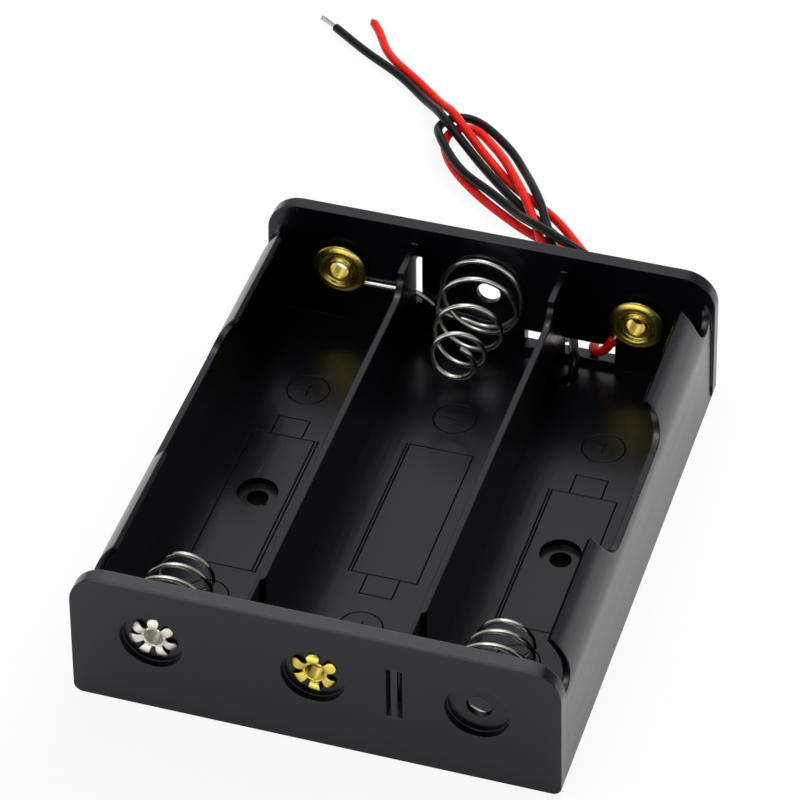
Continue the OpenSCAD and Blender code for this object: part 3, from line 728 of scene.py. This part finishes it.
# %% [markdown]
# ## Black moulded plastic
# The tray is satin ABS: nearly black, with a fine spark-eroded grain, faint flow marks along its
# length and a little dust. Its floor carries shallow outlines of a cell in each bay. A groove is a
# distance to a line turned into a depth, so every outline is a short formula, and the nearest of
# them all feeds one Bump node. A Bevel node turns the normal at each edge, which rounds the edges
# further to the eye without any more faces. It is kept off the floor, where it would light up the
# corners. Along the front wall's top a paler colour is painted in as a painted highlight on its
# rim.

# %% Outlines on the floor
def band(d, half):
    """1 on the line d = 0 and 0 from |d| = half on, with smooth shoulders between.

    It is n n (3 - 2 n), where n = 1 - min(|d| / half, 1)."""
    near = 1 - (abs(d) / half).smallest(1.0)
    return near * near * (3 - 2 * near)


def box_distance(x, y, cx, cy, hx, hy):
    """Largest of |x - cx| - hx and |y - cy| - hy: below 0 inside the box, above 0 outside."""
    return (abs(x - cx) - hx).largest(abs(y - cy) - hy)


RING_R, BAR_HALF, LINE_HALF = 2.8, 1.1, 0.01
SIGNS_Y = (-19.8, 20.7)
POLE_HALF_X, POLE_HALF_Y = 2.1, 1.78
GROOVE_HALF = 0.12


def sign_lines(x, y, cx, cy, plus):
    """Distance to a ring, |sqrt(dx^2 + dy^2) - R|, and to the bars of a plus or minus inside it."""
    dx, dy = x - cx, y - cy
    ring = abs((dx * dx + dy * dy) ** 0.5 - RING_R)
    bars = box_distance(x, y, cx, cy, BAR_HALF, LINE_HALF).largest(0.0)
    if plus:
        bars = bars.smallest(box_distance(x, y, cx, cy, LINE_HALF, BAR_HALF).largest(0.0))
    return ring.smallest(bars)


OUTLINES = [
    # middle of the bay, body's x and y, half its width and length, line beside it, pole's y
    (-20.0, -19.93, -1.4, 4.4, 12.65, -16.0, 13.0),
    (0.0, 0.15, 2.0, 4.25, 12.4, -4.5, -12.15),
    (20.0, 20.05, -1.4, 4.25, 12.6, 15.4, 13.0),
]


def floor_outlines(x, y):
    """In each bay a cell's body, its pole and a sign at either end; the middle cell points forward.

    The body's box lies off the middle of the bay, and a second line runs close beside one of its
    long edges. The pole's box shares one edge with the body."""
    total = None
    for cx, body_x, body_y, half_x, half_y, beside_x, pole_y in OUTLINES:
        facing_back = pole_y > body_y
        body = abs(box_distance(x, y, body_x, body_y, half_x, half_y))
        beside = box_distance(x, y, beside_x, body_y, LINE_HALF, half_y).largest(0.0)
        pole = abs(box_distance(x, y, cx + 0.1, pole_y, POLE_HALF_X, POLE_HALF_Y))
        lines = body.smallest(beside).smallest(pole)
        for sign_y in SIGNS_Y:
            lines = lines.smallest(sign_lines(x, y, cx, sign_y, plus=(sign_y > 0) == facing_back))
        total = lines if total is None else total.smallest(lines)
    return band(total, GROOVE_HALF)


# %% The tray's plastic
plastic = Finish("satin black plastic", Base_Color=colour(0.0036, 0.004, 0.008), Roughness=0.24,
                 IOR=1.5, Specular_Tint=colour(0.95, 0.93, 1.0))
where = plastic.place()
x, y, z = plastic.parts(where)
FLOOR_TOP, EDGE_RADIUS = 2.0, 0.28
grooves = floor_outlines(x, y) * band(z - FLOOR_TOP, 0.3)
grain = plastic.noise(where, 9.0, 3.0, 0.6)
flow = plastic.noise(plastic.place(scale=(900, 90, 900)), 0.55, 3.0, 0.55)
cloud = plastic.noise(where, 0.09, 2.0)
specks = (plastic.noise(where, 3.1, 1.0) - 0.78).largest(0.0) * 6.0
moulded = plastic.blend((specks + 0.3 * cloud - 0.1).clamped(),
                        colour(0.001, 0.0012, 0.0026), colour(0.004, 0.0042, 0.006))
even_normal = plastic.node("ShaderNodeNewGeometry", out="Normal")
round_normal = plastic.node("ShaderNodeBevel", {"samples": 6}, {"Radius": EDGE_RADIUS * MM})
above_floor = rise(z, 2.35, 2.6)
edge_normal = plastic.node("ShaderNodeMix", {"data_type": "VECTOR"},
                           {0: above_floor, 4: even_normal, 5: round_normal}, out=1)
# A paler colour painted along the front wall's top stands in for the highlight on its rim: a
# painted highlight, varied by the grain.
front_rim = rise(z, 18.9, 18.9 + 1 / 3) * rise(-1 * y, 35.0, 36.0)
painted_rim_highlight = front_rim * (0.5 + 0.7 * grain).clamped()
plastic.feed(
    Base_Color=plastic.blend(painted_rim_highlight, moulded, colour(0.05, 0.05, 0.054)),
    Roughness=(0.16 + 0.06 * grain + 0.08 * flow + 0.3 * grooves + specks * 0.3).clamped(),
    Normal=plastic.bump(grain * 0.006 + flow * 0.03 - grooves * 0.16, MM, Normal=edge_normal))
plastic.dress(tray)

# %% [markdown]
# ## Metals
# Brass, plated rivet and spring wire are all metallic, so their base colour is the colour of their
# reflections. Handling leaves soft patches that are a little darker or duller, and pressing or
# drawing leaves a fine grain. Both are noise at two scales, which has no seam on any
# shape, and it goes to the colour, the roughness and the bump.

# %% Brass, nickel and wire
def metal(name, base, dark, roughness, grain_scale, bump):
    """A metal between two colours in soft patches, with a grain of bump mm in its normal."""
    finish = Finish(name, Base_Color=base, Metallic=1.0, Roughness=roughness)
    spot = finish.place()
    patches = finish.noise(spot, 0.7, 3.0, 0.6)
    fine = finish.noise(spot, grain_scale, 2.0, 0.5)
    finish.feed(Base_Color=finish.blend((patches * 1.6 - 0.4).clamped(), dark, base),
                Roughness=(roughness - 0.06 + 0.12 * patches + 0.06 * fine).clamped(),
                Normal=finish.bump(fine, bump * MM))
    return finish


brass = metal("pressed brass", colour(1.0, 0.86, 0.19), colour(0.88, 0.68, 0.13), 0.22, 9.0, 0.02)
nickel = metal(
    "nickel plating", colour(0.98, 0.95, 0.88), colour(0.86, 0.82, 0.73), 0.36, 8.0, 0.02)
spring_wire = metal(
    "plated spring wire", colour(0.86, 0.85, 0.82), colour(0.66, 0.65, 0.62), 0.17, 6.0, 0.015)
tinned = metal(
    "tinned strands", colour(0.78, 0.78, 0.76), colour(0.55, 0.54, 0.52), 0.3, 12.0, 0.01)
copper = metal(
    "thinly tinned copper strands", colour(0.78, 0.66, 0.56), colour(0.55, 0.4, 0.3),
    0.32, 12.0, 0.01)
brass.dress(*eyelets)
nickel.dress(rivet)
spring_wire.dress(*springs)
tinned.dress(black_tip, held["red_strand_inner"], held["black_strand_inner"])
copper.dress(red_tip)

# %% [markdown]
# ## Insulation
# The leads' sleeve is soft PVC with a dull gloss. Drawing it over the wire leaves a slight
# waviness, which breaks its highlights, and handling leaves small duller patches.

# %% Red and black PVC
def sleeve(name, base, dark, roughness):
    """Soft PVC between two colours, with long waves and a fine skin in its normal."""
    finish = Finish(name, Base_Color=base, Roughness=roughness, IOR=1.5, Specular_IOR_Level=0.22)
    spot = finish.place()
    waves = finish.noise(spot, 0.45, 2.0, 0.5)
    skin = finish.noise(spot, 7.0, 2.0, 0.6)
    finish.feed(Base_Color=finish.blend((waves * 1.5 - 0.3).clamped(), dark, base),
                Roughness=(roughness - 0.08 + 0.1 * waves + 0.1 * skin).clamped(),
                Normal=finish.bump(waves * 0.02 + skin * 0.004, MM))
    return finish


red_sleeve = sleeve("red sleeve", colour(0.86, 0.016, 0.003), colour(0.7, 0.008, 0.002), 0.26)
black_sleeve = sleeve(
    "black sleeve", colour(0.005, 0.005, 0.0055), colour(0.003, 0.003, 0.0033), 0.28)
red_sleeve.dress(red_lead, held["red_lead_run"])
black_sleeve.dress(black_lead, held["black_lead_run"])

# %% [markdown]
# ## Floor, world and lamps
# The floor is a wide sheet of white paper. Most of what the camera sees of it is a plain white
# glow, and the rest is a matte surface that keeps the object's soft shadow. In reflections the
# matte share is larger, so that walls grow darker towards their foot. Under the tray the paper is
# painted nearly black and has no glow, a painted shadow that keeps the screw holes dark. The camera
# sees the world as plain white. For all other rays its strength depends on the direction: full
# behind and above, dimmer on the right and the far left, darkest high in front, and bright again
# low in front.

# %% Stage
TRAY_HALF_X, TRAY_HALF_Y = 29.5, 37.0
sheet = bpy.data.meshes.new("stage_floor")
sheet.from_pydata([(-3, -3, 0), (3, -3, 0), (3, 3, 0), (-3, 3, 0)], [], [(0, 1, 2, 3)])
floor = bpy.data.objects.new("stage_floor", sheet)
floor.location.z = -0.00002
bpy.context.scene.collection.objects.link(floor)
paper = Finish("white paper", Roughness=1.0, Specular_IOR_Level=0.0)
ray = paper.node("ShaderNodeLightPath")
camera_ray, glossy_ray = (Socket(paper, ray.output.node.outputs[kind])
                          for kind in ("Is Camera Ray", "Is Glossy Ray"))
x, y = paper.parts(paper.place(), 2)
# Under the tray's outline the paper is painted nearly black and loses its glow: a painted shadow.
# Beyond it the paper is white.
outside = (box_distance(x, y, 0.0, 0.0, TRAY_HALF_X, TRAY_HALF_Y) * 1000).clamped()
paper.feed(Base_Color=paper.blend(outside, colour(0.005, 0.005, 0.005), colour(0.9, 0.9, 0.9)))
glow = paper.node("ShaderNodeEmission")
glow_share = (0.9 * camera_ray).largest(0.2 * glossy_ray) * outside
both = paper.node("ShaderNodeMixShader", {}, {0: glow_share, 2: glow})
paper.tree.links.new(paper.shader.outputs[0], both.output.node.inputs[1])
paper.tree.links.new(both.output, paper.tree.nodes["Material Output"].inputs[0])
paper.dress(floor)

# %% World
class Studio(Finish):
    """The world's node tree, written with the same arithmetic as a material."""

    def __init__(self, name):
        world = bpy.data.worlds.new(name)
        world.use_nodes = True
        bpy.context.scene.world = world
        self.tree, self.count = world.node_tree, 0


studio = Studio("studio")
x, y, z = studio.parts(studio.node("ShaderNodeTexCoord", out="Generated"))
behind = 0.95 + 0.15 * rise(y, -0.2, 0.3)
dim_right = 1 - 0.65 * rise(x, -0.1, 0.15)
dim_far_left = 1 - 0.5 * rise(-1 * x, 0.35, 0.6)
ceiling = 0.8 * rise(z, 0.82, 0.93)
front_glow = 1.4 * rise(-1 * y, 0.5, 0.8) * (1 - rise(z, 0.3, 0.45))
dark_front = 0.75 * rise(-1 * y, 0.3, 0.5) * band(z - 0.66, 0.3)
strength = (behind * dim_right * dim_far_left + ceiling + front_glow - dark_front).largest(0.05)
light = studio.node("ShaderNodeBackground", {}, {1: strength})
white = studio.node("ShaderNodeBackground", {}, {1: 1.0})
sky_ray = studio.node("ShaderNodeLightPath", out="Is Camera Ray")
seen = studio.node("ShaderNodeMixShader", {}, {0: sky_ray, 1: light, 2: white})
studio.tree.links.new(seen.output, studio.tree.nodes["World Output"].inputs[0])


# %% Lamps
def lamp(name, place_mm, aim_mm, size_mm, power):
    """A rectangular lamp of so many watts, turned so that its own -z axis meets its aim."""
    data = bpy.data.lights.new(name, "AREA")
    data.shape = "RECTANGLE"
    data.size, data.size_y = size_mm[0] * MM, size_mm[1] * MM
    data.energy = power
    piece = bpy.data.objects.new(name, data)
    bpy.context.scene.collection.objects.link(piece)
    back_axis = np.subtract(place_mm, aim_mm).astype(float)
    back_axis /= np.linalg.norm(back_axis)
    side_axis = np.cross([0, 0, 1], back_axis)
    side_axis /= np.linalg.norm(side_axis)
    axes = [side_axis, np.cross(back_axis, side_axis), back_axis]
    piece.matrix_world = matrix_from(axes, np.multiply(place_mm, MM))
    return piece


key = lamp("key", (120, 400, 400), (0, 0, 5), (260, 200), 1.9)
key.visible_glossy = False
lamp("overhead", (-90, -60, 520), (0, 20, 5), (200, 120), 0.3)
bpy.context.scene.view_settings.view_transform = "Standard"
